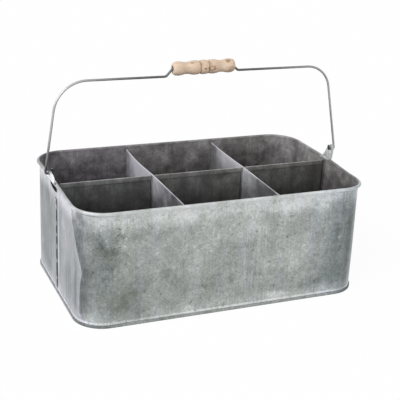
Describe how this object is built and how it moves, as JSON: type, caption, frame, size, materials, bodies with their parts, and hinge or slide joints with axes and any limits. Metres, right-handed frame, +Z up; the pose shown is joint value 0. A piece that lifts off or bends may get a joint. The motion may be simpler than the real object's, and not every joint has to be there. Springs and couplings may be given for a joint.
{
  "type": "bottle crate",
  "caption": "Galvanised sheet bottle crate with rounded corners, rolled rim, interlocking dividers and a swinging wire bail with a turned wooden grip.",
  "frame": {"origin": "centre of the underside, on the surface that the crate stands on", "axes": "+X along the crate's length, -Y towards the front, +Z up"},
  "size_m": [0.41, 0.2412, 0.2931],
  "materials": {
    "galvanised_sheet": "matt galvanised, mottled grey-green",
    "dark_galvanised_sheet": "matt galvanised, dark grey",
    "galvanised_wire": "satin galvanised wire",
    "turned_wood": "turned pale hardwood, unvarnished"
  },
  "bodies": {
    "crate": {"body_wall": "galvanised_sheet", "base_pan": "galvanised_sheet", "rim_wire": "galvanised_wire", "long_divider": "dark_galvanised_sheet", "cross_divider_left": "dark_galvanised_sheet", "cross_divider_right": "dark_galvanised_sheet", "ear_left": "galvanised_wire", "ear_right": "galvanised_wire"},
    "bail": {"bail_wire": "galvanised_wire"},
    "grip": {"grip": "turned_wood"}
  },
  "joints": [
    {"name": "bail_swing", "type": "hinge", "parent": "crate", "child": "bail", "pos_m": [0, 0, 0.16038], "axis": [1, 0, 0], "range_deg": [-91, 91]},
    {"name": "grip_spin", "type": "hinge", "parent": "bail", "child": "grip", "pos_m": [0, 0, 0.28418], "axis": [1, 0, 0], "continuous": true}
  ]
}
